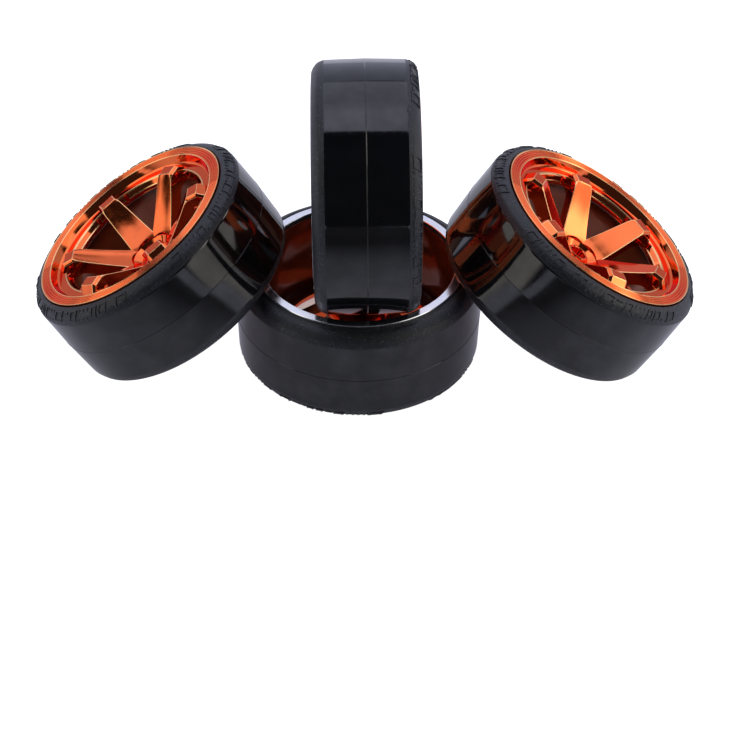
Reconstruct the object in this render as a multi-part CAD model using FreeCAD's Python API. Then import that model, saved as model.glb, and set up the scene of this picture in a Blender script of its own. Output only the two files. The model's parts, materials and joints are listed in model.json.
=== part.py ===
import FreeCAD, Part
import math
import os
from FreeCAD import Vector, Matrix

# A set of four 1/10-scale drift wheels, piled: one lies face down, one stands upright in the
# hollow back of the lying one, and one leans on it from each side.
# Millimetres. Origin: middle of the set's footprint, on the surface it rests on. +Z up.
#
# Each wheel is drawn once in its own frame: axis = local Z, front (outer) face towards +Z,
# middle of the tread at local z = 0, first spoke along local +X.

# ---------------------------------------------------------------- driving dimensions
TREAD_R = 31.0            # radius at the tread's shoulders (62 mm over the tread)
CROWN = 0.25              # the tread stands this much higher in its middle
SEAM = 0.06               # height of the mould's parting ridge round the tread
SHOULDER_W = 9.8          # half width of the flat tread
SIDE_W = 12.9             # half width of the tyre
BEAD_R = 26.0             # tyre bore = outside of the rim's barrel (52 mm)
LAND_W = 8.6              # the bead lands run from here to the tyre's sides
CAVITY_R = 28.4           # hollow between the lands

LIP_R = 27.4              # outside of the front lip
LIP_IN_R = 24.2           # inner edge of the front lip
LIP_W = 13.4              # front face of the lip
LIP_BACK_W = 11.7         # back of the lip, where the tyre's rebate stops
LEDGE_R = 23.05           # foot of the dish wall
LEDGE_W = 11.0            # depth of the ledge ring
WINDOW_R = 19.8           # outer radius of the windows
WINDOW_W = 9.7
FLANGE_R = 26.5           # outside of the back flange
FLANGE_IN_R = 24.5        # inner edge of the back flange
FLANGE_W = 13.6           # back face of the flange
BARREL_IN_R = 24.1        # inside of the barrel at the back

SPOKES = 6
HUB_TOP_R = 5.8           # round recess in the hub, where the spokes' faces end
HUB_TOP_W = 4.3
KNEE_R = 17.8             # the spoke's face climbs to here
KNEE_END_R = 20.6         # flat pad, then the end facet falls to the ledge
KNEE_W = 13.2
FOOT_R = 22.75
SPOKE_HALF_HUB = 3.65     # half width at radius 6.3
SPOKE_HALF_KNEE = 2.60    # half width at the knee
SPOKE_BEVEL = 0.30

HUB_R = 8.6               # outside of the hub behind the spokes
HUB_BACK_W = 4.2          # back end of the hub
HEX_AF = 12.1             # socket for the 12 mm drive hex, across flats
HEX_FLOOR_W = 0.0         # floor of the socket
RECESS_FLOOR_W = 2.0
NUT_AF = 5.4              # raised hexagon round the axle bore
NUT_TOP_W = 3.8
BORE_R = 2.1              # 4 mm axle with clearance

MARK_H = 0.28             # height of the raised marks on the front sidewall

# ---------------------------------------------------------------- poses of the wheels
# each: (centre, front direction, angle of the first spoke)
LYING = ((0.0, 0.0, 13.40), (0.0, 0.0, -1.0), -43.0)
STANDING = ((1.5265, -0.2082, 49.571), (0.99947, 0.02879, 0.01507), 12.0)
LEFT = ((-50.2578, 0.0169, 26.3263), (-0.54495, -0.00233, 0.83847), 29.1)
RIGHT = ((53.4929, 2.3378, 25.9348), (0.5257, 0.03047, 0.85012), 6.3)
SHIFT = (-1.745, -1.070, 0.0)   # brings the footprint's middle to the origin


def revolved(points):
    """Solid of revolution about Z from a closed (radius, z) outline."""
    pts = [Vector(r, 0, z) for r, z in points]
    face = Part.Face(Part.makePolygon(pts + [pts[0]]))
    return face.revolve(Vector(0, 0, 0), Vector(0, 0, 1), 360)


def hexagon(af, z0, z1, turn=0.0):
    """Hexagonal prism, flats at turn + 60 k degrees."""
    R = af / 2.0 / math.cos(math.pi / 6)
    pts = [Vector(R * math.cos(math.radians(turn + 30 + 60 * k)),
                  R * math.sin(math.radians(turn + 30 + 60 * k)), z0) for k in range(6)]
    return Part.Face(Part.makePolygon(pts + [pts[0]])).extrude(Vector(0, 0, z1 - z0))


def solid_of(faces):
    """Closed solid from flat faces, each a list of corners."""
    fs = []
    for f in faces:
        pts = [Vector(*p) for p in f]
        fs.append(Part.Face(Part.makePolygon(pts + [pts[0]])))
    s = Part.Solid(Part.Shell(fs))
    if s.Volume < 0:
        s.reverse()
    return s


def turned(shape, deg):
    s = shape.copy()
    s.rotate(Vector(0, 0, 0), Vector(0, 0, 1), deg)
    return s


# ---------------------------------------------------------------- tyre
def tyre():
    side = [(TREAD_R, SHOULDER_W), (30.86, 10.7), (30.3, 11.55), (29.2, 12.42), (28.2, 12.82),
            (27.8, SIDE_W)]
    mid = [(TREAD_R + CROWN * 0.72, 5.2), (TREAD_R + CROWN, 0.35), (TREAD_R + CROWN + SEAM, 0.12)]
    front = side[::-1] + mid
    back = [(r, -z) for r, z in (side[::-1] + mid)][::-1]
    # The ring is hollow between its two bead lands, which grip the rim's barrel.
    outline = ([(LIP_R + 0.08, LIP_BACK_W), (LIP_R + 0.08, SIDE_W)] + front + back
               + [(BEAD_R, -SIDE_W), (BEAD_R, -LAND_W), (CAVITY_R - 0.8, -LAND_W),
                  (CAVITY_R, -LAND_W + 0.8), (CAVITY_R, LAND_W - 0.8),
                  (CAVITY_R - 0.8, LAND_W), (BEAD_R, LAND_W), (BEAD_R, LIP_BACK_W)])
    body = revolved(outline)
    # Raised marks on the front sidewall: plain bars and dashes on its sloping band.
    p0, p1 = (30.22, 11.60), (29.02, 12.50)          # the band, from outside in
    ax, ay = (p1[0] - p0[0]), (p1[1] - p0[1])

    def mark(a0, a1, s0, s1):
        """Patch from angle a0 to a1, from share s0 to s1 of the band's width."""
        A = (p0[0] + ax * s0, p0[1] + ay * s0)
        B = (p0[0] + ax * s1, p0[1] + ay * s1)
        nx, nz = abs(ay) / math.hypot(ax, ay), abs(ax) / math.hypot(ax, ay)
        quad = [(A[0] - nx * 0.3, A[1] - nz * 0.3), (A[0] + nx * MARK_H, A[1] + nz * MARK_H),
                (B[0] + nx * MARK_H, B[1] + nz * MARK_H), (B[0] - nx * 0.3, B[1] - nz * 0.3)]
        pts = [Vector(r, 0, z) for r, z in quad]
        f = Part.Face(Part.makePolygon(pts + [pts[0]]))
        f.rotate(Vector(0, 0, 0), Vector(0, 0, 1), a0)
        return f.revolve(Vector(0, 0, 0), Vector(0, 0, 1), a1 - a0)

    marks = []
    for g in range(3):                                # three equal groups round the tyre
        base = g * 120.0
        a = base + 6.0
        for k in range(9):
            if k % 3 == 2:
                marks.append(mark(a, a + 5.4, 0.38, 0.62))
                a += 8.4
            else:
                marks.append(mark(a, a + 1.3, 0.05, 0.95))
                marks.append(mark(a + 4.6, a + 5.9, 0.05, 0.95))
                a += 8.4
    return body.multiFuse(marks).removeSplitter()


# ---------------------------------------------------------------- rim
def spoke():
    def half(r):
        return SPOKE_HALF_HUB + (SPOKE_HALF_KNEE - SPOKE_HALF_HUB) * (r - 6.3) / (KNEE_R - 6.3)

    slope = (KNEE_W - HUB_TOP_W) / (KNEE_R - HUB_TOP_R)
    r_in = 3.2
    top = [(r_in, HUB_TOP_W - slope * (HUB_TOP_R - r_in)), (KNEE_R, KNEE_W), (KNEE_END_R, KNEE_W),
           (FOOT_R, LEDGE_W + 0.02), (23.6, LEDGE_W - 0.85)]
    bottom = [(23.6, 8.4), (17.2, 8.3), (6.6, 0.5), (r_in, -0.8)]
    b = SPOKE_BEVEL
    faces = []

    T = [(r, half(r), z) for r, z in top]
    for (r0, h0, z0), (r1, h1, z1) in zip(T, T[1:]):
        faces.append([(r0, -h0 + b, z0), (r0, h0 - b, z0), (r1, h1 - b, z1), (r1, -h1 + b, z1)])
        for s in (1, -1):
            faces.append([(r0, s * (h0 - b), z0), (r0, s * h0, z0 - b), (r1, s * h1, z1 - b),
                          (r1, s * (h1 - b), z1)])
    B = [(r, half(r), z) for r, z in bottom]
    for (r0, h0, z0), (r1, h1, z1) in zip(B, B[1:]):
        faces.append([(r0, -h0, z0), (r0, h0, z0), (r1, h1, z1), (r1, -h1, z1)])
    for s in (1, -1):                                  # the two flanks
        faces.append([(r, s * h, z - b) for r, h, z in T] + [(r, s * h, z) for r, h, z in B])
    r0, z0 = top[0]
    zb = bottom[-1][1]
    h0 = half(r0)
    faces.append([(r0, -h0, zb), (r0, -h0, z0 - b), (r0, -h0 + b, z0), (r0, h0 - b, z0),
                  (r0, h0, z0 - b), (r0, h0, zb)])
    r1, z1 = top[-1]
    zb = bottom[0][1]
    h1 = half(r1)
    faces.append([(r1, -h1, zb), (r1, -h1, z1 - b), (r1, -h1 + b, z1), (r1, h1 - b, z1),
                  (r1, h1, z1 - b), (r1, h1, zb)])
    return solid_of(faces)


def rim():
    z = LIP_W
    ring = revolved([
        (BEAD_R, LIP_BACK_W), (LIP_R, LIP_BACK_W), (LIP_R, z - 0.2), (LIP_R - 0.2, z),
        (26.85, z), (26.7, z - 0.18), (26.55, z), (26.15, z), (26.0, z - 0.18), (25.85, z),
        (25.4, z), (25.25, z - 0.18), (25.1, z), (24.5, z), (LIP_IN_R, z - 0.2),
        (LEDGE_R, LEDGE_W), (21.15, LEDGE_W + 0.12), (20.95, LEDGE_W + 0.12), (20.66, LEDGE_W - 0.1),
        (WINDOW_R, WINDOW_W), (WINDOW_R, 8.7), (20.3, 8.2), (22.7, 7.6), (23.2, 7.1),
        (BARREL_IN_R, -FLANGE_W + 1.0), (FLANGE_IN_R, -FLANGE_W + 0.12),
        (FLANGE_IN_R + 0.12, -FLANGE_W), (FLANGE_R - 0.15, -FLANGE_W), (FLANGE_R, -FLANGE_W + 0.15),
        (FLANGE_R, -SIDE_W), (BEAD_R, -SIDE_W)])
    hub = revolved([(0, -HUB_BACK_W), (HUB_R - 0.3, -HUB_BACK_W), (HUB_R, -HUB_BACK_W + 0.3),
                    (HUB_R, 1.0), (6.9, 3.0), (0, 3.0)])
    sp = spoke()
    spokes = [turned(sp, 360.0 / SPOKES * k) for k in range(SPOKES)]
    body = ring.multiFuse([hub] + spokes)
    # round recess in the middle of the front
    recess = revolved([(0, RECESS_FLOOR_W), (4.3, RECESS_FLOOR_W), (HUB_TOP_R - 0.15, 3.35),
                       (HUB_TOP_R, 3.5), (HUB_TOP_R, 20), (0, 20)])
    body = body.cut(recess)
    nut = hexagon(NUT_AF, 1.2, NUT_TOP_W, 30.0)
    body = body.fuse(nut)
    # small blocks on the ledge, one each side of every spoke
    tabs = []
    for k in range(SPOKES):
        for s in (1, -1):
            t = Part.makeBox(1.7, 1.0, 2.0, Vector(19.75, -0.5, 9.3))
            tabs.append(turned(t, 60.0 * k + s * 13.6))
    body = body.multiFuse(tabs)
    body = body.cut(hexagon(HEX_AF, -HUB_BACK_W - 1, HEX_FLOOR_W, 0.0))
    body = body.cut(Part.makeCylinder(BORE_R, 40, Vector(0, 0, -20)))
    return body.removeSplitter()


# ---------------------------------------------------------------- placing
def place(shape, pose):
    (cx, cy, cz), front, spin = pose
    a = Vector(*front)
    a.normalize()
    up = Vector(0, 0, 1)
    v = up - a * up.dot(a)
    if v.Length < 1e-6:
        v = Vector(0, -1, 0)
    v.normalize()
    u = v.cross(a)
    c, s = math.cos(math.radians(spin)), math.sin(math.radians(spin))
    x = u * c + v * s
    y = a.cross(x)
    m = Matrix(x.x, y.x, a.x, cx + SHIFT[0], x.y, y.y, a.y, cy + SHIFT[1],
               x.z, y.z, a.z, cz + SHIFT[2], 0, 0, 0, 1)
    p = FreeCAD.Placement(m)
    out = shape.copy()
    out.Placement = p.multiply(out.Placement)
    return out


os.makedirs("parts", exist_ok=True)
TYRE = tyre()
RIM = rim()
for name, sh in (("tyre", TYRE), ("rim", RIM)):
    bb = sh.BoundBox
    print(name, "valid", sh.isValid(), "solids", len(sh.Solids), "volume %.1f" % sh.Volume,
          "z %.2f..%.2f r %.2f" % (bb.ZMin, bb.ZMax, bb.XMax))
for name, pose in (("lying", LYING), ("standing", STANDING), ("left", LEFT), ("right", RIGHT)):
    for kind, base in (("tyre", TYRE), ("rim", RIM)):
        sh = place(base, pose)
        solid = sh.Solids[0] if len(sh.Solids) == 1 else sh
        solid.exportStep("parts/%s_%s.step" % (name, kind))
        bb = solid.BoundBox
        print(name, kind, "x %.2f..%.2f y %.2f..%.2f z %.2f..%.2f" % (
            bb.XMin, bb.XMax, bb.YMin, bb.YMax, bb.ZMin, bb.ZMax))
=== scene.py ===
import bpy, bmesh, json, math
import numpy as np
from mathutils import Matrix, Vector

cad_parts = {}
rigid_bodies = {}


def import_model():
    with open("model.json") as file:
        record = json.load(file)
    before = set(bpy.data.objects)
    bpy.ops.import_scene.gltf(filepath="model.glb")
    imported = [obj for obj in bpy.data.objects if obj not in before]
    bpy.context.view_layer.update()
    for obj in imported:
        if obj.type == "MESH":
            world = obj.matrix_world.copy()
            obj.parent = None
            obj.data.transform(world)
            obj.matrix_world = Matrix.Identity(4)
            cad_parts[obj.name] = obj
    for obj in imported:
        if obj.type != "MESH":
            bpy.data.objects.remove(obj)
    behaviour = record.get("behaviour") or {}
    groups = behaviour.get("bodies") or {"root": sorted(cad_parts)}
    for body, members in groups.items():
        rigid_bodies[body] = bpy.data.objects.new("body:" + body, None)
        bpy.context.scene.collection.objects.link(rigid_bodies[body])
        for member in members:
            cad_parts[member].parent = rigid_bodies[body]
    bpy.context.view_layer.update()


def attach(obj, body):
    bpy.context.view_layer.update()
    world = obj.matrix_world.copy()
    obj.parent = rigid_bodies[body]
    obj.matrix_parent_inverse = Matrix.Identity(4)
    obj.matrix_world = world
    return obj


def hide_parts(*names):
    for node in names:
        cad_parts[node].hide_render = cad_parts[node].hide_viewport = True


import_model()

MM = 0.001

# ------------------------------------------------------------------ poses of the four wheels (mm), as in the CAD model
SHIFT = (-1.745, -1.070, 0.0)
POSES = {
    "lying": ((0.0, 0.0, 13.40), (0.0, 0.0, -1.0), -43.0),
    "standing": ((1.5265, -0.2082, 49.571), (0.99947, 0.02879, 0.01507), 12.0),
    "left": ((-50.2578, 0.0169, 26.3263), (-0.54495, -0.00233, 0.83847), 29.1),
    "right": ((53.4929, 2.3378, 25.9348), (0.5257, 0.03047, 0.85012), 6.3),
}


def wheel_matrix(pose):
    (cx, cy, cz), front, spin = pose
    a = Vector(front).normalized()
    up = Vector((0, 0, 1))
    v = up - a * up.dot(a)
    v = Vector((0, -1, 0)) if v.length < 1e-6 else v.normalized()
    u = v.cross(a)
    c, s = math.cos(math.radians(spin)), math.sin(math.radians(spin))
    x = u * c + v * s
    y = a.cross(x)
    return Matrix((
        (x.x, y.x, a.x, (cx + SHIFT[0]) * MM),
        (x.y, y.y, a.y, (cy + SHIFT[1]) * MM),
        (x.z, y.z, a.z, (cz + SHIFT[2]) * MM),
        (0, 0, 0, 1)))


# ------------------------------------------------------------------ mesh helpers (all in mm, scaled at the end)
def rounded(points, seg=4):
    """Closed outline of (r, w, radius); each corner with a radius becomes an arc."""
    out = []
    n = len(points)
    for i in range(n):
        p = np.array(points[i][:2], float)
        rad = points[i][2] if len(points[i]) > 2 else 0.0
        if rad <= 0:
            out.append(tuple(p))
            continue
        a = np.array(points[i - 1][:2], float) - p
        b = np.array(points[(i + 1) % n][:2], float) - p
        la, lb = np.linalg.norm(a), np.linalg.norm(b)
        a, b = a / la, b / lb
        ang = math.acos(max(-1, min(1, float(a @ b))))
        t = min(rad / math.tan(ang / 2), 0.48 * la, 0.48 * lb)
        R = t * math.tan(ang / 2)
        c = p + (a + b) / np.linalg.norm(a + b) * (R / math.sin(ang / 2))
        s0, s1 = p + a * t - c, p + b * t - c
        a0, a1 = math.atan2(s0[1], s0[0]), math.atan2(s1[1], s1[0])
        d = (a1 - a0 + math.pi) % (2 * math.pi) - math.pi
        k = max(1, int(round(seg * abs(d) / (math.pi / 2) + 0.4)))
        for j in range(k + 1):
            q = a0 + d * j / k
            out.append((c[0] + R * math.cos(q), c[1] + R * math.sin(q)))
    return out


def revolve_bm(profile, n):
    bm = bmesh.new()
    rings = []
    for i in range(n):
        t = 2 * math.pi * i / n
        c, s = math.cos(t), math.sin(t)
        rings.append([bm.verts.new((r * c, r * s, w)) for r, w in profile])
    m = len(profile)
    for i in range(n):
        A, B = rings[i], rings[(i + 1) % n]
        for j in range(m):
            k = (j + 1) % m
            bm.faces.new((A[j], A[k], B[k], B[j]))
    bmesh.ops.recalc_face_normals(bm, faces=bm.faces)
    return bm


def mesh_from(bm, name):
    me = bpy.data.meshes.new(name)
    bm.to_mesh(me)
    bm.free()
    return me


def temp(me, name):
    o = bpy.data.objects.new(name, me)
    bpy.context.scene.collection.objects.link(o)
    return o


def boolean(base, others, op):
    """Applies one exact boolean with all the others at once; they are removed."""
    col = bpy.data.collections.new("operands")
    bpy.context.scene.collection.children.link(col)
    for o in others:
        bpy.context.scene.collection.objects.unlink(o)
        col.objects.link(o)
    m = base.modifiers.new("b", "BOOLEAN")
    m.operation = op
    m.operand_type = "COLLECTION"
    m.collection = col
    m.solver = "EXACT"
    bpy.context.view_layer.update()
    dg = bpy.context.evaluated_depsgraph_get()
    me = bpy.data.meshes.new_from_object(base.evaluated_get(dg))
    base.modifiers.clear()
    old = base.data
    base.data = me
    bpy.data.meshes.remove(old)
    for o in list(col.objects):
        d = o.data
        bpy.data.objects.remove(o)
        if d.users == 0:
            bpy.data.meshes.remove(d)
    bpy.data.collections.remove(col)
    return base


def prism(sides, af, z0, z1, turn=0.0, bevel=0.0):
    """Regular prism across flats af, flats at turn + 360 k / sides degrees, top edge bevelled."""
    R = af / 2 / math.cos(math.pi / sides)
    bm = bmesh.new()
    levels = [(z0, 1.0), (z1 - bevel, 1.0), (z1, (af / 2 - bevel) / (af / 2))] if bevel else [(z0, 1.0), (z1, 1.0)]
    loops = []
    for z, k in levels:
        loops.append([bm.verts.new((R * k * math.cos(math.radians(turn + (180 / sides) + 360 / sides * i)),
                                    R * k * math.sin(math.radians(turn + (180 / sides) + 360 / sides * i)), z))
                      for i in range(sides)])
    for A, B in zip(loops, loops[1:]):
        for i in range(sides):
            j = (i + 1) % sides
            bm.faces.new((A[i], A[j], B[j], B[i]))
    bm.faces.new(loops[0][::-1])
    bm.faces.new(loops[-1])
    bmesh.ops.recalc_face_normals(bm, faces=bm.faces)
    return bm


# ------------------------------------------------------------------ tyre
SEG = 288
SIDE = [(31.0, 9.8), (30.70, 10.62), (30.25, 11.50), (29.25, 12.36), (28.45, 12.76), (28.05, 12.88)]


def smooth_curve(pts, per=6):
    """Catmull-Rom through the points, first and last kept."""
    P = [np.array(p, float) for p in pts]
    P = [2 * P[0] - P[1]] + P + [2 * P[-1] - P[-2]]
    out = []
    for i in range(1, len(P) - 2):
        for j in range(per):
            t = j / per
            out.append(tuple(0.5 * ((2 * P[i]) + (-P[i - 1] + P[i + 1]) * t
                                    + (2 * P[i - 1] - 5 * P[i] + 4 * P[i + 1] - P[i + 2]) * t * t
                                    + (-P[i - 1] + 3 * P[i] - 3 * P[i + 1] + P[i + 2]) * t ** 3)))
    out.append(tuple(P[-2]))
    return out


SIDE_CURVE = smooth_curve(SIDE, 5)


def tyre_mesh():
    half = []
    for w in (9.3, 8.2, 7.0, 5.8, 4.6, 3.4, 2.2, 1.1, 0.4, 0.11):
        half.append((31.0 + 0.25 * (1 - (w / 9.8) ** 1.15), w))
    seam = [(31.25 + 0.055, 0.035)]
    front = [(27.52, 11.75), (27.52, 12.55), (27.60, 12.80), (27.80, 12.90)] + SIDE_CURVE[::-1] + half + seam
    back = [(r, -w) for r, w in front[::-1]]
    inner = [(26.02, -12.82), (26.02, 11.75)]
    back = [p for p in back if not (p[0] < 27.55)]
    outline = front + back + [(26.25, -12.90), (26.02, -12.70), (26.02, 11.75)]
    bm = revolve_bm(outline, SEG)
    for f in bm.faces:
        c = f.calc_center_median()
        r = math.hypot(c.x, c.y)
        f.material_index = 0 if (r > 30.9 and abs(c.z) < 9.8) else 1
        f.smooth = True
    return mesh_from(bm, "tyre")


def band_point(t):
    """Point and outward normal (r, w) on the front sidewall, t in mm from its outer end."""
    pts = SIDE_CURVE[3:]
    acc = 0.0
    for a, b in zip(pts, pts[1:]):
        L = math.hypot(b[0] - a[0], b[1] - a[1])
        if acc + L >= t or b is pts[-1]:
            k = (t - acc) / L
            p = (a[0] + (b[0] - a[0]) * k, a[1] + (b[1] - a[1]) * k)
            n = ((b[1] - a[1]) / L, -(b[0] - a[0]) / L)
            return p, n
        acc += L


def marks_mesh():
    """Raised pattern on the front sidewall: slanted frames, hatching and dashes."""
    bm = bmesh.new()
    H = 0.24

    def pos(s, t, h, base):
        (r, w), (nr, nw) = band_point(t)
        ang = base + s / 29.3
        r, w = r + nr * h, w + nw * h
        over = max(0.0, 0.83847 * r + 0.54495 * w - 31.765)      # flattened at the widest point of the shoulder
        r, w = r - 0.83847 * over, w - 0.54495 * over
        return (r * math.cos(ang), r * math.sin(ang), w)

    def dens(poly, step=0.45):
        out = []
        n = len(poly)
        for i in range(n):
            a, b = poly[i], poly[(i + 1) % n]
            L = math.hypot(b[0] - a[0], b[1] - a[1])
            k = max(1, int(math.ceil(L / step)))
            for j in range(k):
                out.append((a[0] + (b[0] - a[0]) * j / k, a[1] + (b[1] - a[1]) * j / k))
        return out

    def offset(poly, d):
        """Inset a convex or simple closed polygon (counter-clockwise) by d."""
        n = len(poly)
        out = []
        for i in range(n):
            p0, p1, p2 = (np.array(poly[i - 1]), np.array(poly[i]), np.array(poly[(i + 1) % n]))
            e0, e1 = p1 - p0, p2 - p1
            e0, e1 = e0 / np.linalg.norm(e0), e1 / np.linalg.norm(e1)
            n0, n1 = np.array((-e0[1], e0[0])), np.array((-e1[1], e1[0]))
            m = n0 + n1
            m = m / (m @ m) * 2
            out.append(tuple(p1 + m * d))
        return out

    def loops(layers, base, x0, cap):
        """layers: list of (polygon, height) with equal corner counts, outside in."""
        rows = []
        for poly, h in layers:
            rows.append([bm.verts.new(pos(x0 + s, t, h, base)) for s, t in poly])
        n = len(rows[0])
        for A, B in zip(rows, rows[1:]):
            for i in range(n):
                j = (i + 1) % n
                bm.faces.new((A[i], A[j], B[j], B[i]))
        return rows

    def frame_mark(poly, base, x0, stroke=0.42):
        def lay(d, h):
            return (offset(poly, d), h)
        L = [lay(0.0, -0.08), lay(0.02, H * 0.7), lay(0.07, H), lay(stroke - 0.07, H),
             lay(stroke - 0.02, H * 0.7), lay(stroke, -0.08)]
        # the same subdivision of every side on every layer keeps the quads aligned
        n = len(poly)
        D = []
        counts = [max(1, int(math.ceil(math.hypot(poly[(i + 1) % n][0] - poly[i][0],
                                                  poly[(i + 1) % n][1] - poly[i][1]) / 0.5))) for i in range(n)]
        for q, h in L:
            pts = []
            for i in range(n):
                a, b = q[i], q[(i + 1) % n]
                for j in range(counts[i]):
                    pts.append((a[0] + (b[0] - a[0]) * j / counts[i], a[1] + (b[1] - a[1]) * j / counts[i]))
            D.append((pts, h))
        rows = loops(D, base, x0, False)
        A, B = rows[-1], rows[0]
        m = len(A)
        for i in range(m):
            j = (i + 1) % m
            bm.faces.new((A[i], A[j], B[j], B[i]))

    def solid_mark(quad, base, x0):
        """A four-cornered bar with a bevelled top."""
        k = max(1, int(math.ceil(math.hypot(quad[1][0] - quad[0][0], quad[1][1] - quad[0][1]) / 0.5)))

        def grid(d, h):
            q = offset(quad, d)
            lo = [(q[0][0] + (q[1][0] - q[0][0]) * j / k, q[0][1] + (q[1][1] - q[0][1]) * j / k) for j in range(k + 1)]
            hi = [(q[3][0] + (q[2][0] - q[3][0]) * j / k, q[3][1] + (q[2][1] - q[3][1]) * j / k) for j in range(k + 1)]
            return ([bm.verts.new(pos(x0 + s, t, h, base)) for s, t in lo],
                    [bm.verts.new(pos(x0 + s, t, h, base)) for s, t in hi])
        g = [grid(0.0, -0.08), grid(0.02, H * 0.7), grid(0.08, H)]
        for (l0, h0), (l1, h1) in zip(g, g[1:]):
            for j in range(k):
                bm.faces.new((l0[j], l0[j + 1], l1[j + 1], l1[j]))
                bm.faces.new((h0[j + 1], h0[j], h1[j], h1[j + 1]))
            bm.faces.new((h0[0], l0[0], l1[0], h1[0]))
            bm.faces.new((l0[k], h0[k], h1[k], l1[k]))
        l, h = g[-1]
        for j in range(k):
            bm.faces.new((l[j], l[j + 1], h[j + 1], h[j]))
        l, h = g[0]
        for j in range(k):
            bm.faces.new((l[j + 1], l[j], h[j], h[j + 1]))

    lo, hi = 0.45, 3.15
    slant = 0.85

    def para(wd, a=lo, b=hi, s=slant):
        return [(0, a), (wd, a), (wd + s, b), (s, b)]

    # slanted frames of different lengths, fine hatching and dashes: a pattern, nothing to read
    wide, mid, narrow = ("f", para(3.2), 0.60), ("f", para(2.4), 0.60), ("f", para(1.8), 0.60)
    bar = ("b", para(0.44), 0.42)
    low = ("b", para(1.8, 0.75, 1.25, 0.16), 0.50)
    high = ("b", [(x + 0.4, t) for x, t in para(1.8, 2.35, 2.85, 0.16)], 0.50)
    hatch = [bar] * 4
    seq = [wide] + hatch + [mid, low, narrow, narrow] + hatch[:3] + [wide, high, mid] + hatch[:3] + [narrow, mid, low, wide]
    for g in range(3):
        base = math.radians(120 * g)
        x = 0.0
        for kind, poly, gap in seq:
            wd = max(p[0] for p in poly)
            if kind == "f":
                frame_mark(poly, base, x)
            else:
                solid_mark(poly, base, x)
            x += wd - (slant if wd > 1.0 and kind == "f" else 0.3) + gap
    bmesh.ops.recalc_face_normals(bm, faces=bm.faces)
    return mesh_from(bm, "marks")


# ------------------------------------------------------------------ rim
def spoke_mesh():
    """One spoke along +X: ramp from the hub, flat pad at the lip's level, facet down to the ledge."""
    slope = (13.2 - 4.3) / (17.8 - 5.8)

    def half(r):
        if r < 17.0:
            return 3.65 + (2.66 - 3.65) * (r - 6.3) / (17.0 - 6.3)
        return 2.66 + 0.12 * min(1.0, (r - 17.0) / 3.0)

    def bev(r):
        if r < 16.9:
            return 0.17
        if r < 17.9:
            return 0.17 + 0.53 * (r - 16.9)
        return 0.70

    def bottom(r):
        P = [(3.0, -0.8), (6.6, 0.5), (17.2, 8.3), (24.0, 8.4)]
        for (r0, z0), (r1, z1) in zip(P, P[1:]):
            if r <= r1:
                return z0 + (z1 - z0) * (r - r0) / (r1 - r0)
        return 8.4
    # stations (r, top): sharp ridges are softened by three close stations
    st = []
    for r in np.linspace(3.0, 17.5, 15):
        z = 4.3 + slope * (r - 5.8)
        z -= 0.20 * math.sin(math.pi * max(0.0, min(1.0, (r - 6.0) / 11.5)))     # faint sink of the moulded face
        st.append((float(r), z))
    st += [(17.70, 13.115), (17.80, 13.165), (17.92, 13.19), (18.05, 13.20), (19.2, 13.2), (20.40, 13.20), (20.55, 13.17),
           (20.68, 13.08), (22.0, 11.72), (22.74, 10.96), (23.6, 10.1)]
    bm = bmesh.new()
    rows = []
    for r, z in st:
        h, b, zb = half(r), bev(r), bottom(r)
        e = 0.07 if b < 0.4 else 0.14
        side = [(h, zb), (h, z - b - e), (h - 0.45 * e, z - b + 0.45 * e), (h - b + 0.45 * e, z - 0.45 * e), (h - b - e, z)]
        mid = [(k * (h - b - e) * 0.5, z - 0.05 * (1 - 0.25 * k * k)) for k in (-1, 0, 1)]
        sec = [(-y, zz) for y, zz in side] + mid + side[::-1]
        rows.append([bm.verts.new((r, y, zz)) for y, zz in sec])
    m = len(rows[0])
    for (A, B), (r, z) in zip(zip(rows, rows[1:]), st):
        for j in range(m):
            k = (j + 1) % m
            f = bm.faces.new((A[j], A[k], B[k], B[j]))
            # slot 2 on the spoke's underside is painted shade; slot 1 on the roundings, the chamfers near the hub and
            # the thin lines at the crease and the pad's end is painted highlight
            if j == m - 1:
                f.material_index = 2
            elif j in (1, 3, m - 5, m - 3) or (j in (2, m - 4) and r < 17.3):
                f.material_index = 1
            elif 3 < j < m - 5 and (17.65 < r < 17.85 or 20.5 < r < 20.6):
                f.material_index = 1
    bm.faces.new(rows[0])
    bm.faces.new(rows[-1][::-1])
    bmesh.ops.recalc_face_normals(bm, faces=bm.faces)
    return bm


def copy_rotated(me, deg, name):
    c = me.copy()
    c.transform(Matrix.Rotation(math.radians(deg), 4, "Z"))
    return temp(c, name)


def with_slots(me):
    for mat in (ORANGE, EDGE, BARREL):
        me.materials.append(mat)
    return me


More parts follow.
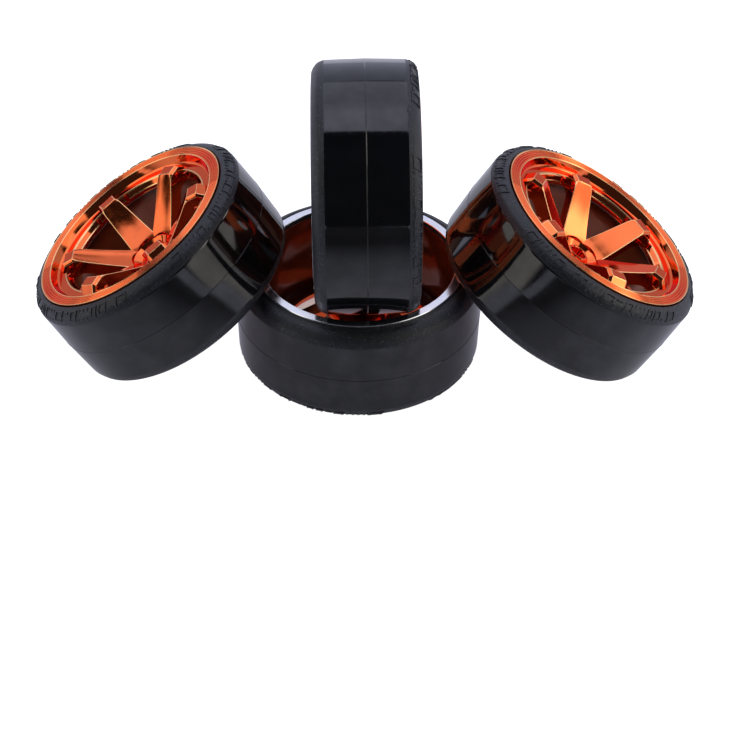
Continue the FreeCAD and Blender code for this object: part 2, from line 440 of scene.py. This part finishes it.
def ring_mesh():
    """Lip with three fine ribs, dish wall, ledge with its bead, and the barrel."""
    z = 13.4
    lip = [(26.02, 11.75, 0.05), (27.38, 11.75, 0.1), (27.38, z, 0.22)]
    r0, pitch = 27.04, 0.59                       # four rounded ribs side by side
    for i in range(4 * 8 + 1):
        r = r0 - pitch * i / 8
        lip.append((r, z - 0.015 - 0.012 * i / 8 - 0.19 * (1 - abs(math.sin(math.pi * i / 8)) ** 0.8)))
    lip += [(24.56, z - 0.10, 0.05), (24.42, z - 0.20, 0.08)]
    rest = [(24.10, 12.30, 0.3), (23.74, 11.40, 0.3), (23.30, 11.02, 0.25), (21.42, 11.02, 0.05), (21.34, 11.20, 0.08), (20.95, 11.20, 0.12),
            (20.66, 10.86, 0.06), (20.02, 9.88, 0.08), (19.80, 9.66, 0.08), (19.80, 8.72, 0.1),
            (20.3, 8.2, 0.15), (22.7, 7.6, 0.3), (23.2, 7.1, 0.4), (24.05, -12.2, 0.3),
            (24.10, -12.45, 0.05), (26.02, -12.45, 0.05)]
    bm = revolve_bm(rounded(lip + rest, 4), SEG)
    for f in bm.faces:
        c = f.calc_center_median()
        r, w = math.hypot(c.x, c.y), c.z
        # slot 2 on the barrel below the ledge is painted shade; slot 1 on the lip's outer crest, its inner edge, the
        # ledge bead and the window's edge is painted highlight
        if w < 8.85 and r < 24.3:
            f.material_index = 2
        elif (20.66 < r < 21.36 and w > 10.95) or (r < 20.1 and 9.6 < w < 9.96) or (r > 27.12 and w > z - 0.25):
            f.material_index = 1
        elif 24.3 < r < 24.78 and w > z - 0.5:
            f.material_index = 1
    return with_slots(mesh_from(bm, "ring"))


def nut_mesh():
    """Raised hexagon in the recess with the axle bore through it, 5.4 across flats."""
    bm = bmesh.new()
    n = 48

    def hexagon(af):
        out = []
        for i in range(n):
            t = 2 * math.pi * i / n
            d = (t + math.pi / 6) % (math.pi / 3) - math.pi / 6
            out.append((af / 2 / math.cos(d), t + math.pi / 6))
        return out

    rows = []
    for outline, z in ((hexagon(5.4), 1.6), (hexagon(5.4), 3.62), (hexagon(5.04), 3.80), ([(2.22, q) for _, q in hexagon(5)], 3.80),
                       ([(2.10, q) for _, q in hexagon(5)], 3.68), ([(2.10, q) for _, q in hexagon(5)], 1.6)):
        rows.append([bm.verts.new((r * math.cos(q), r * math.sin(q), z)) for r, q in outline])
    for A, B in zip(rows, rows[1:] + rows[:1]):
        for i in range(n):
            j = (i + 1) % n
            bm.faces.new((A[i], A[j], B[j], B[i]))
    bmesh.ops.recalc_face_normals(bm, faces=bm.faces)
    return with_slots(mesh_from(bm, "nut"))


def rim_mesh():
    hub = rounded([(2.1, -4.2), (8.3, -4.2), (8.6, -3.9, 0.1), (8.6, 1.0, 0.5), (6.9, 3.0), (2.1, 3.0)], 4)
    base = temp(with_slots(mesh_from(revolve_bm(hub, 96), "hub")), "rim_build")
    sp = with_slots(mesh_from(spoke_mesh(), "spoke"))
    boolean(base, [copy_rotated(sp, 60 * k, "sp%d" % k) for k in range(6)], "UNION")
    # recess in the hub's front, drive socket behind
    rec = rounded([(1.0, 2.0), (4.25, 2.0, 0.25), (5.70, 3.42, 0.2), (5.80, 3.6, 0.1), (5.80, 12.0), (1.0, 12.0)], 4)
    cuts = [temp(with_slots(mesh_from(revolve_bm(rec, 96), "rec")), "rec"),
            temp(with_slots(mesh_from(prism(6, 12.1, -6.0, 0.0, 0.0), "hex")), "hex")]
    boolean(base, cuts, "DIFFERENCE")
    bm = bmesh.new()
    bm.from_mesh(base.data)
    bm.from_mesh(ring_mesh())
    bm.from_mesh(nut_mesh())
    for k in range(6):
        for s in (1, -1):
            tb = bmesh.new()
            bmesh.ops.create_cube(tb, size=1.0)
            bmesh.ops.scale(tb, vec=(1.70, 1.0, 2.0), verts=tb.verts)
            bmesh.ops.bevel(tb, geom=tb.edges[:], offset=0.18, segments=2, profile=0.6, affect="EDGES")
            for v in tb.verts:                      # leans back like a small wedge
                v.co.y += s * 0.16 * (v.co.x / 0.85)
                if v.co.z > 0:
                    v.co.z -= 0.22 * (v.co.x + 0.85) / 1.7
            bmesh.ops.translate(tb, vec=(20.60, 0, 10.25), verts=tb.verts)
            t = mesh_from(tb, "tab")
            t.transform(Matrix.Rotation(math.radians(60 * k + s * 13.9), 4, "Z"))
            bm.from_mesh(t)
    bpy.data.objects.remove(base)
    me = bpy.data.meshes.new("rim")
    bm.to_mesh(me)
    bm.free()
    return with_slots(me)


def flange_mesh():
    """The bright back flange of the rim."""
    prof = rounded([(24.12, -12.47, 0.04), (24.46, -13.45, 0.10), (24.62, -13.58, 0.08), (26.52, -13.58, 0.14),
                    (26.66, -13.42, 0.10), (26.66, -12.93, 0.05), (26.04, -12.93, 0.04), (26.04, -12.47, 0.04)], 4)
    return mesh_from(revolve_bm(prof, SEG), "flange")


def finish_mesh(me, angle=32):
    me.transform(Matrix.Scale(MM, 4))
    bm = bmesh.new()
    bm.from_mesh(me)
    bmesh.ops.remove_doubles(bm, verts=bm.verts, dist=2e-7)
    bmesh.ops.dissolve_degenerate(bm, dist=1e-7, edges=bm.edges)
    bm.to_mesh(me)
    bm.free()
    for p in me.polygons:
        p.use_smooth = True
    me.set_sharp_from_angle(angle=math.radians(angle))
    me.update()
    return me


# ------------------------------------------------------------------ materials
def material(name):
    m = bpy.data.materials.new(name)
    m.use_nodes = True
    nt = m.node_tree
    nt.nodes.clear()
    out = nt.nodes.new("ShaderNodeOutputMaterial")
    b = nt.nodes.new("ShaderNodeBsdfPrincipled")
    nt.links.new(b.outputs[0], out.inputs[0])
    return m, nt, b


def noise(nt, scale, detail=2.0, rough=0.5, vec=None):
    n = nt.nodes.new("ShaderNodeTexNoise")
    n.inputs["Scale"].default_value = scale
    n.inputs["Detail"].default_value = detail
    n.inputs["Roughness"].default_value = rough
    if vec is not None:
        nt.links.new(vec, n.inputs["Vector"])
    return n.outputs["Fac"]


def coords(nt):
    n = nt.nodes.new("ShaderNodeAttribute")
    n.attribute_name = "wheel_co"
    return n.outputs["Vector"]


def ramp(nt, fac, stops):
    r = nt.nodes.new("ShaderNodeValToRGB")
    nt.links.new(fac, r.inputs[0])
    el = r.color_ramp.elements
    while len(el) < len(stops):
        el.new(0.5)
    for e, (p, c) in zip(el, stops):
        e.position = p
        e.color = (c, c, c, 1) if isinstance(c, (int, float)) else (*c, 1)
    return r.outputs["Color"]


def bump(nt, height, strength, dist, normal=None):
    b = nt.nodes.new("ShaderNodeBump")
    b.inputs["Strength"].default_value = strength
    b.inputs["Distance"].default_value = dist
    nt.links.new(height, b.inputs["Height"])
    if normal is not None:
        nt.links.new(normal, b.inputs["Normal"])
    return b.outputs[0]


def plating(name, color, deep, rough0, rough1, tint=(1, 1, 1), coat=0.0, metal=1.0, wavy=0.10, shade=None):
    m, nt, b = material(name)
    v = coords(nt)
    big = noise(nt, 95, 2, 0.5, v)
    col = ramp(nt, big, [(0.3, deep), (0.7, color)])
    if shade:                                     # painted shade: the colour darkens to 0.3 above this height along the wheel's axis
        part = nt.nodes.new("ShaderNodeSeparateXYZ")
        nt.links.new(v, part.inputs[0])
        dim = nt.nodes.new("ShaderNodeMapRange")
        dim.interpolation_type = "SMOOTHSTEP"
        nt.links.new(part.outputs[2], dim.inputs[0])
        for k, val in enumerate((*shade, 1.0, 0.30)):
            dim.inputs[k + 1].default_value = val
        mul = nt.nodes.new("ShaderNodeVectorMath")
        mul.operation = "SCALE"
        nt.links.new(col, mul.inputs[0])
        nt.links.new(dim.outputs[0], mul.inputs["Scale"])
        col = mul.outputs[0]
    nt.links.new(col, b.inputs["Base Color"])
    fine = noise(nt, 420, 3, 0.6, v)
    nt.links.new(ramp(nt, fine, [(0.35, rough0), (0.75, rough1)]), b.inputs["Roughness"])
    b.inputs["Metallic"].default_value = metal
    b.inputs["Specular Tint"].default_value = (*tint, 1)
    b.inputs["Coat Weight"].default_value = coat
    b.inputs["Coat Roughness"].default_value = 0.06
    wave = noise(nt, 160, 1.5, 0.45, v)
    nt.links.new(bump(nt, wave, wavy, 0.00012), b.inputs["Normal"])
    return m


ORANGE = plating("orange_plating", (0.96, 0.185, 0.040), (0.93, 0.155, 0.034), 0.06, 0.11, (0.92, 0.24, 0.34), 0.42, 1.0, 0.05)
# painted highlight: bevels, crests and thin edge lines get this lighter yellow colour in place of the bright lines
# light draws on them
EDGE = plating("edge_painted_highlight", (1.0, 0.56, 0.25), (1.0, 0.46, 0.18), 0.14, 0.22, (1.0, 0.9, 0.75), 0.3, 0.95)
# painted shade: the barrel and the spoke undersides get a darker, less metallic red-brown than the orange plating, and
# darker again above a height along the axis
BARREL = plating("barrel_painted_shade", (0.42, 0.105, 0.033), (0.27, 0.062, 0.020), 0.09, 0.20, (1.0, 0.9, 0.85), 0.0, 0.20, 0.22, (0.0040, 0.0070))
SILVER = plating("bright_plating", (1.0, 1.0, 1.0), (0.96, 0.96, 0.98), 0.16, 0.24)


def tread_material():
    m, nt, b = material("polished_tread")
    v = coords(nt)
    n1 = noise(nt, 60, 2, 0.5, v)
    nt.links.new(ramp(nt, n1, [(0.3, (0.0040, 0.0043, 0.0055)), (0.7, (0.0056, 0.0060, 0.0076))]), b.inputs["Base Color"])
    n2 = noise(nt, 900, 4, 0.7, v)
    nt.links.new(ramp(nt, n2, [(0.4, 0.06), (0.8, 0.13)]), b.inputs["Roughness"])
    b.inputs["IOR"].default_value = 1.42
    haze = noise(nt, 130, 3, 0.55, v)
    nt.links.new(ramp(nt, haze, [(0.42, 0.66), (0.72, 0.92)]), b.inputs["Specular IOR Level"])
    # dust specks and a faint unevenness of the moulding
    vo = nt.nodes.new("ShaderNodeTexVoronoi")
    vo.inputs["Scale"].default_value = 330
    nt.links.new(v, vo.inputs["Vector"])
    spk = ramp(nt, vo.outputs["Distance"], [(0.05, 1.0), (0.09, 0.0)])
    w = noise(nt, 75, 1.0, 0.4, v)
    n_ = bump(nt, w, 0.10, 0.00025)
    nt.links.new(bump(nt, spk, 0.10, 0.00003, n_), b.inputs["Normal"])
    return m


def sidewall_material():
    m, nt, b = material("satin_sidewall")
    v = coords(nt)
    n1 = noise(nt, 240, 5, 0.65, v)
    dark = ramp(nt, n1, [(0.3, (0.0135, 0.0150, 0.0195)), (0.75, (0.0220, 0.0240, 0.0305))])
    # painted glints: single cells of a fine pattern get a much lighter base colour, standing in for the sparkle of
    # light on the rubber
    vo = nt.nodes.new("ShaderNodeTexVoronoi")
    vo.inputs["Scale"].default_value = 3600
    nt.links.new(v, vo.inputs["Vector"])
    cell = nt.nodes.new("ShaderNodeSeparateColor")
    nt.links.new(vo.outputs["Color"], cell.inputs[0])
    pick = ramp(nt, cell.outputs[0], [(0.86, 0.0), (0.97, 1.0)])
    near = ramp(nt, vo.outputs["Distance"], [(0.30, 1.0), (0.50, 0.0)])
    mul = nt.nodes.new("ShaderNodeMath")
    mul.operation = "MULTIPLY"
    nt.links.new(pick, mul.inputs[0])
    nt.links.new(near, mul.inputs[1])
    mix = nt.nodes.new("ShaderNodeMix")
    mix.data_type = "RGBA"
    nt.links.new(mul.outputs[0], mix.inputs[0])
    nt.links.new(dark, mix.inputs[6])
    mix.inputs[7].default_value = (0.120, 0.128, 0.150, 1)
    nt.links.new(mix.outputs[2], b.inputs["Base Color"])
    n2 = noise(nt, 2600, 3, 0.7, v)
    nt.links.new(ramp(nt, n2, [(0.35, 0.36), (0.7, 0.56)]), b.inputs["Roughness"])
    b.inputs["IOR"].default_value = 1.48
    g = bump(nt, vo.outputs["Distance"], 0.45, 0.00009)
    nt.links.new(bump(nt, n2, 0.35, 0.00007, g), b.inputs["Normal"])
    return m


TREAD = tread_material()
WALL = sidewall_material()

# ------------------------------------------------------------------ build once, place four times
tyre_me = finish_mesh(tyre_mesh(), 24)
tyre_me.materials.append(TREAD)
tyre_me.materials.append(WALL)
marks_me = finish_mesh(marks_mesh(), 50)
marks_me.materials.append(WALL)
rim_me = finish_mesh(rim_mesh(), 30)
flange_me = finish_mesh(flange_mesh(), 30)
flange_me.materials.append(SILVER)



def placed(name, me, M, snug=1.0):
    """A copy of the mesh in the row frame; each vertex keeps its place in the wheel's own frame as an attribute.

    snug below 1 seats the lip and the flange closer to the tyre's bead."""
    c = me.copy()
    n = len(c.vertices)
    co = np.empty(n * 3, np.float32)
    c.vertices.foreach_get("co", co)
    if snug < 1.0:
        p = co.reshape(-1, 3)
        far = (np.abs(p[:, 2]) > 0.0129) & (np.hypot(p[:, 0], p[:, 1]) > 0.0238)
        p[far, 2] = np.sign(p[far, 2]) * (0.0129 + (np.abs(p[far, 2]) - 0.0129) * snug)
        c.vertices.foreach_set("co", co)
    at = c.attributes.new("wheel_co", "FLOAT_VECTOR", "POINT")
    at.data.foreach_set("vector", co)
    c.transform(M)
    return temp(c, name)


for wheel, pose in POSES.items():
    M = wheel_matrix(pose)
    for kind, me, node, slot in (("tyre_body", tyre_me, "tyre", "tyre"), ("tyre_marks", marks_me, "tyre", "tyre"),
                                 ("rim_face", rim_me, "rim", "rim"), ("rim_flange", flange_me, "rim", "rim")):
        o = placed("%s_%s" % (wheel, kind), me, M, 0.12 if wheel == "standing" and node == "rim" else 1.0)
        if kind in ("rim_face", "rim_flange"):
            wn = o.modifiers.new("normals", "WEIGHTED_NORMAL")
            wn.keep_sharp = True
            wn.weight = 80
        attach(o, wheel + "_wheel")
        if kind in ("tyre_body", "rim_face"):
            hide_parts("%s_%s" % (wheel, node))

# ------------------------------------------------------------------ floor
bm = bmesh.new()
bmesh.ops.create_circle(bm, cap_ends=True, segments=96, radius=3.0)
floor = temp(mesh_from(bm, "floor"), "floor")
floor.location.z = -0.00004
m, nt, b = material("floor_paper")
b.inputs["Roughness"].default_value = 0.9
b.inputs["Specular IOR Level"].default_value = 0.2
# painted light: the floor glows by emission, bluish for other rays, white and much stronger for camera rays
seen = nt.nodes.new("ShaderNodeLightPath").outputs["Is Camera Ray"]
grain = noise(nt, 900, 3, 0.6)
nt.links.new(ramp(nt, grain, [(0.3, (0.66, 0.66, 0.68)), (0.7, (0.68, 0.68, 0.70))]), b.inputs["Base Color"])
tone = nt.nodes.new("ShaderNodeMix")
tone.data_type = "RGBA"
nt.links.new(seen, tone.inputs[0])
tone.inputs[6].default_value = (0.96, 0.98, 1.20, 1)
tone.inputs[7].default_value = (1, 1, 1, 1)
nt.links.new(tone.outputs[2], b.inputs["Emission Color"])
glow = nt.nodes.new("ShaderNodeMath")
glow.operation = "MULTIPLY_ADD"
nt.links.new(seen, glow.inputs[0])
glow.inputs[1].default_value = 0.74
glow.inputs[2].default_value = 0.24
# painted shadow: the paper's glow is dimmer in a disc inside the lying wheel; painted light makes it a little brighter
# far away
where = nt.nodes.new("ShaderNodeNewGeometry").outputs["Position"]
off = nt.nodes.new("ShaderNodeVectorMath")
off.operation = "DISTANCE"
nt.links.new(where, off.inputs[0])
off.inputs[1].default_value = (SHIFT[0] * MM, SHIFT[1] * MM, 0.0)
painted_shadow_disc = nt.nodes.new("ShaderNodeMapRange")
painted_shadow_disc.interpolation_type = "SMOOTHSTEP"
nt.links.new(off.outputs["Value"], painted_shadow_disc.inputs[0])
painted_shadow_disc.inputs[1].default_value = 0.0255
painted_shadow_disc.inputs[2].default_value = 0.0285
painted_shadow_disc.inputs[3].default_value = 0.10
painted_shadow_disc.inputs[4].default_value = 0.74
nt.links.new(painted_shadow_disc.outputs[0], glow.inputs[1])
far = nt.nodes.new("ShaderNodeMapRange")
far.interpolation_type = "SMOOTHSTEP"
nt.links.new(off.outputs["Value"], far.inputs[0])
far.inputs[1].default_value = 0.24
far.inputs[2].default_value = 0.46
far.inputs[3].default_value = 0.25
far.inputs[4].default_value = 0.46
# painted shade: the floor's colour and glow are darker in a strip in front of the wheels, near the middle
part = nt.nodes.new("ShaderNodeSeparateXYZ")
nt.links.new(where, part.inputs[0])
painted_shade_front = nt.nodes.new("ShaderNodeMapRange")
painted_shade_front.interpolation_type = "SMOOTHSTEP"
nt.links.new(part.outputs[1], painted_shade_front.inputs[0])
for k, val in enumerate((-0.23, -0.01, 0.12, 1.0)):
    painted_shade_front.inputs[k + 1].default_value = val
side = nt.nodes.new("ShaderNodeMath")
side.operation = "ABSOLUTE"
nt.links.new(part.outputs[0], side.inputs[0])
wide_ = nt.nodes.new("ShaderNodeMapRange")
wide_.interpolation_type = "SMOOTHSTEP"
nt.links.new(side.outputs[0], wide_.inputs[0])
wide_.inputs[1].default_value = 0.17
wide_.inputs[2].default_value = 0.33
painted_shade_factor = nt.nodes.new("ShaderNodeMath")
painted_shade_factor.operation = "MAXIMUM"
nt.links.new(painted_shade_front.outputs[0], painted_shade_factor.inputs[0])
nt.links.new(wide_.outputs[0], painted_shade_factor.inputs[1])
lit = nt.nodes.new("ShaderNodeMath")
lit.operation = "MULTIPLY"
nt.links.new(painted_shade_factor.outputs[0], lit.inputs[0])
nt.links.new(far.outputs[0], lit.inputs[1])
# painted light: for camera rays the added glow is at least 0.24, whatever the painted shade in front
keep = nt.nodes.new("ShaderNodeMath")
keep.operation = "MAXIMUM"
nt.links.new(lit.outputs[0], keep.inputs[0])
floor_cam = nt.nodes.new("ShaderNodeMath")
floor_cam.operation = "MULTIPLY"
nt.links.new(seen, floor_cam.inputs[0])
floor_cam.inputs[1].default_value = 0.24
nt.links.new(floor_cam.outputs[0], keep.inputs[1])
nt.links.new(keep.outputs[0], glow.inputs[2])
paper = b.inputs["Base Color"].links[0].from_socket
dimmed = nt.nodes.new("ShaderNodeVectorMath")
dimmed.operation = "SCALE"
nt.links.new(paper, dimmed.inputs[0])
nt.links.new(painted_shade_factor.outputs[0], dimmed.inputs["Scale"])
nt.links.new(dimmed.outputs[0], b.inputs["Base Color"])
nt.links.new(glow.outputs[0], b.inputs["Emission Strength"])
floor.data.materials.append(m)

# ------------------------------------------------------------------ studio light: soft panels round the table
world = bpy.data.worlds.new("studio")
bpy.context.scene.world = world
world.use_nodes = True
nt = world.node_tree
nt.nodes.clear()


def mnode(op, *args, clamp=False):
    n = nt.nodes.new("ShaderNodeMath")
    n.operation = op
    n.use_clamp = clamp
    for i, a in enumerate(args):
        if isinstance(a, (int, float)):
            n.inputs[i].default_value = a
        else:
            nt.links.new(a, n.inputs[i])
    return n.outputs[0]


tc = nt.nodes.new("ShaderNodeTexCoord")
sep = nt.nodes.new("ShaderNodeSeparateXYZ")
nt.links.new(tc.outputs["Generated"], sep.inputs[0])
X, Y, Z = sep.outputs
AZ = mnode("MULTIPLY", mnode("ARCTAN2", X, mnode("MULTIPLY", Y, -1.0)), 180 / math.pi)   # 0 towards -Y, 90 towards +X
EL = mnode("MULTIPLY", mnode("ARCSINE", Z), 180 / math.pi)


def step(v, edge, soft):
    """0 below the edge, 1 above it."""
    n = nt.nodes.new("ShaderNodeMapRange")
    n.interpolation_type = "SMOOTHSTEP"
    nt.links.new(v, n.inputs[0])
    n.inputs[1].default_value = edge - soft
    n.inputs[2].default_value = edge + soft
    return n.outputs[0]


def window(v, lo, hi, soft):
    return mnode("MULTIPLY", step(v, lo, soft), mnode("SUBTRACT", 1.0, step(v, hi, soft)))


def add(a, b):
    return mnode("ADD", a, b)


ABS_AZ = mnode("ABSOLUTE", AZ)
zc = mnode("MAXIMUM", Z, 0.02)
XZ = mnode("DIVIDE", X, zc)
YZ = mnode("DIVIDE", Y, zc)
UP = step(Z, 0.30, 0.02)
# backdrop behind; a thin dark gap parts it from the overhead panel
seam = mnode("SUBTRACT", 1.0, mnode("MULTIPLY", window(EL, 37.3, 38.4, 0.25), step(ABS_AZ, 175.5, 1.0)))
back = mnode("MULTIPLY", mnode("MULTIPLY", step(ABS_AZ, 112, 10), mnode("MULTIPLY", window(EL, -60, 38.7, 0.5), seam)),
             mnode("ADD", 0.56, mnode("MULTIPLY", step(ABS_AZ, 163, 14), 0.18)))
# overhead panel, a little brighter near its middle
over = mnode("MULTIPLY", mnode("MULTIPLY", window(XZ, -0.80, 0.95, 0.03), window(YZ, -0.0998, 1.253, 0.012)), UP)
dx, dy = mnode("SUBTRACT", XZ, -0.06), mnode("SUBTRACT", YZ, 0.08)
r2 = mnode("ADD", mnode("MULTIPLY", dx, dx), mnode("MULTIPLY", dy, dy))
warm = mnode("MULTIPLY", mnode("EXPONENT", mnode("MULTIPLY", r2, -14.0)), 0.55)
over = mnode("MULTIPLY", over, mnode("ADD", warm, 1.02))
# the mount of the panel shows as a dark spot in it
dx, dy = mnode("SUBTRACT", XZ, 0.252), mnode("SUBTRACT", YZ, 0.306)
r2 = mnode("ADD", mnode("MULTIPLY", dx, dx), mnode("MULTIPLY", dy, dy))
over = mnode("MULTIPLY", over, step(mnode("SQRT", r2), 0.034, 0.008))
# panel on the right with two hot lamps in it
right = mnode("MULTIPLY", window(AZ, 48, 112, 2.5), window(EL, 6, 47, 1.5))
hot = add(mnode("MULTIPLY", mnode("MULTIPLY", window(AZ, 62, 77, 4), window(EL, 12, 23, 4)), 1.9),
          mnode("MULTIPLY", mnode("MULTIPLY", window(AZ, 86.6, 106, 2.2), window(EL, 17, 32, 4)), 2.5))
right = add(mnode("MULTIPLY", right, 1.02), hot)
# panel on the left
left = mnode("MULTIPLY", mnode("MULTIPLY", window(AZ, -106, -58, 2.5), window(EL, 4.2, 44, 0.9)), 1.15)
# faint fill from the room in front
front = mnode("MULTIPLY", mnode("MULTIPLY", mnode("SUBTRACT", 1.0, step(ABS_AZ, 70, 25)), window(EL, -60, 70, 12)), 0.022)
low = mnode("MULTIPLY", mnode("MULTIPLY", window(ABS_AZ, 47, 75, 3), window(EL, -0.5, 6.5, 0.9)), 1.2)
on_right = step(AZ, 0, 1)
sides = add(mnode("MAXIMUM", right, mnode("MULTIPLY", low, on_right)),
            mnode("MAXIMUM", left, mnode("MULTIPLY", low, mnode("SUBTRACT", 1.0, on_right))))
above = add(add(over, front), 0.012)
comb = nt.nodes.new("ShaderNodeCombineColor")
for i, (ks, ka, kb) in enumerate(((1.03, 0.92, 0.90), (0.99, 0.955, 0.94), (0.93, 1.17, 1.22))):
    nt.links.new(add(mnode("MULTIPLY", sides, ks), add(mnode("MULTIPLY", above, ka), mnode("MULTIPLY", back, kb * 0.86))),
                 comb.inputs[i])
bg = nt.nodes.new("ShaderNodeBackground")
nt.links.new(comb.outputs[0], bg.inputs[0])
white = nt.nodes.new("ShaderNodeBackground")
white.inputs[0].default_value = (1, 1, 1, 1)
white.inputs[1].default_value = 1.0
lp = nt.nodes.new("ShaderNodeLightPath")
mix = nt.nodes.new("ShaderNodeMixShader")
nt.links.new(lp.outputs["Is Camera Ray"], mix.inputs[0])
nt.links.new(bg.outputs[0], mix.inputs[1])
nt.links.new(white.outputs[0], mix.inputs[2])
wo = nt.nodes.new("ShaderNodeOutputWorld")
nt.links.new(mix.outputs[0], wo.inputs[0])

# ------------------------------------------------------------------ camera
C = Vector((4.458312, -392.226414, 313.259577)) + Vector(SHIFT)
F_DIR = Vector((0.0, 0.7715032, -0.6362254))
R_DIR = Vector((0.9998875, 0.0095436, 0.0115728))
U_DIR = R_DIR.cross(F_DIR)
cam = bpy.data.cameras.new("camera")
cam.sensor_fit = "HORIZONTAL"
cam.sensor_width = 36.0
cam.lens = 1918.0417 * 36.0 / 750.0
cam.clip_start = 0.01
cam.clip_end = 20.0
camera = bpy.data.objects.new("camera", cam)
bpy.context.scene.collection.objects.link(camera)
B = -F_DIR
camera.matrix_world = Matrix((
    (R_DIR.x, U_DIR.x, B.x, C.x * MM),
    (R_DIR.y, U_DIR.y, B.y, C.y * MM),
    (R_DIR.z, U_DIR.z, B.z, C.z * MM),
    (0, 0, 0, 1)))
bpy.context.scene.camera = camera
bpy.context.scene.view_settings.view_transform = "Standard"
bpy.context.scene.view_settings.look = "None"

bpy.context.view_layer.update()
